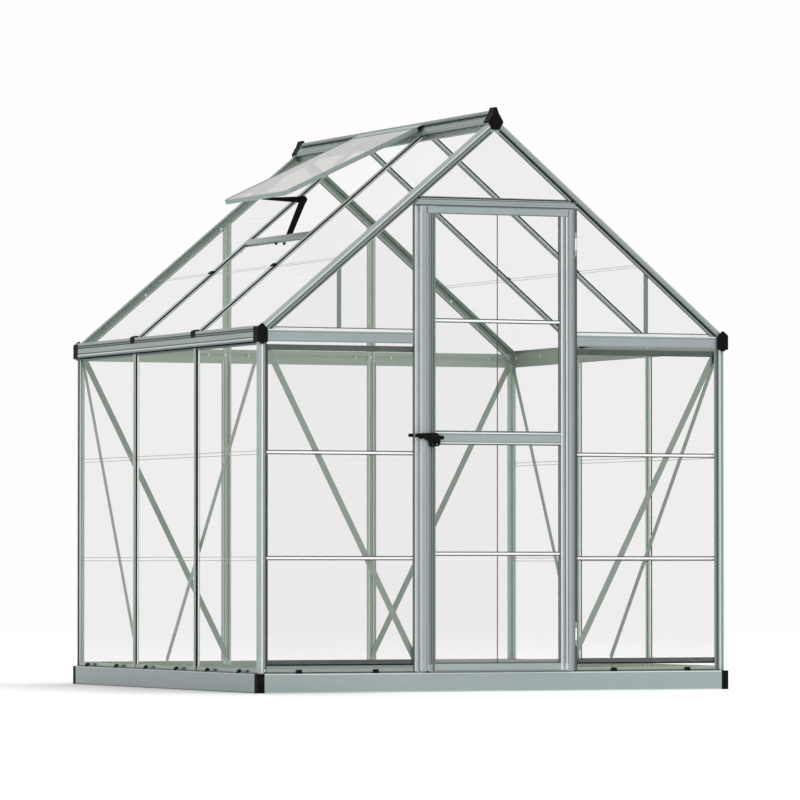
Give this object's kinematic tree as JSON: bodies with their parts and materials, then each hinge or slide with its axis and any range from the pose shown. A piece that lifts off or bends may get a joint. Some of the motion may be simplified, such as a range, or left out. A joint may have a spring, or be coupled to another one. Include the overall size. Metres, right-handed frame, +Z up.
{
  "type": "polycarbonate greenhouse",
  "caption": "Small gabled greenhouse: aluminium frame on a steel base, clear polycarbonate sheets, hinged door and propped roof vent.",
  "frame": {"origin": "middle of the base at ground level", "axes": "+X to the right seen from the door, +Y from the door wall to the back wall, +Z up"},
  "size_m": [1.85, 1.883, 2.091],
  "materials": {
    "frame_aluminium": "satin mill finish",
    "inner_aluminium": "satin mill finish",
    "base_plate": "satin galvanised steel",
    "clear_polycarbonate": "gloss clear sheet",
    "edge_strip": "translucent grey strip",
    "black_plastic": "fine moulded grain"
  },
  "bodies": {
    "house": {"base_front": "base_plate", "base_back": "base_plate", "base_left": "base_plate", "base_right": "base_plate", "base_corner_caps": "black_plastic", "sill_rails": "inner_aluminium", "corner_posts": "frame_aluminium", "side_wall_posts": "frame_aluminium", "back_wall_posts": "frame_aluminium", "door_posts": "frame_aluminium", "door_transom": "frame_aluminium", "front_tie_rails": "frame_aluminium", "back_tie_rails": "frame_aluminium", "left_gutter": "frame_aluminium", "right_gutter": "frame_aluminium", "gutter_end_caps": "black_plastic", "front_gable_rafters": "frame_aluminium", "back_gable_rafters": "frame_aluminium", "gable_studs": "inner_aluminium", "left_roof_rafters": "frame_aluminium", "right_roof_rafters": "frame_aluminium", "ridge_beam": "frame_aluminium", "ridge_end_caps": "black_plastic", "frame_clips": "black_plastic", "wall_braces": "inner_aluminium", "front_wall_sheets": "clear_polycarbonate", "left_wall_sheets": "clear_polycarbonate", "right_wall_sheets": "clear_polycarbonate", "back_wall_sheets": "clear_polycarbonate", "front_gable_sheets": "clear_polycarbonate", "left_roof_sheets": "clear_polycarbonate", "right_roof_sheets": "clear_polycarbonate", "sheet_joiners": "clear_polycarbonate", "sheet_edge_strips": "edge_strip", "roof_vent_frame": "frame_aluminium", "roof_vent_sheet": "clear_polycarbonate", "roof_vent_sill": "frame_aluminium", "roof_vent_stay": "black_plastic", "door_latch_keep": "black_plastic", "hinge_brackets": "frame_aluminium"},
    "door": {"door_stiles": "frame_aluminium", "door_rails": "frame_aluminium", "door_sheets": "clear_polycarbonate", "door_hinges": "frame_aluminium", "door_handle": "black_plastic"}
  },
  "joints": [
    {"name": "door_hinge", "type": "hinge", "parent": "house", "child": "door", "pos_m": [0.307, -0.937, 0.9], "axis": [0, 0, 1], "range_deg": [0, 150]}
  ]
}
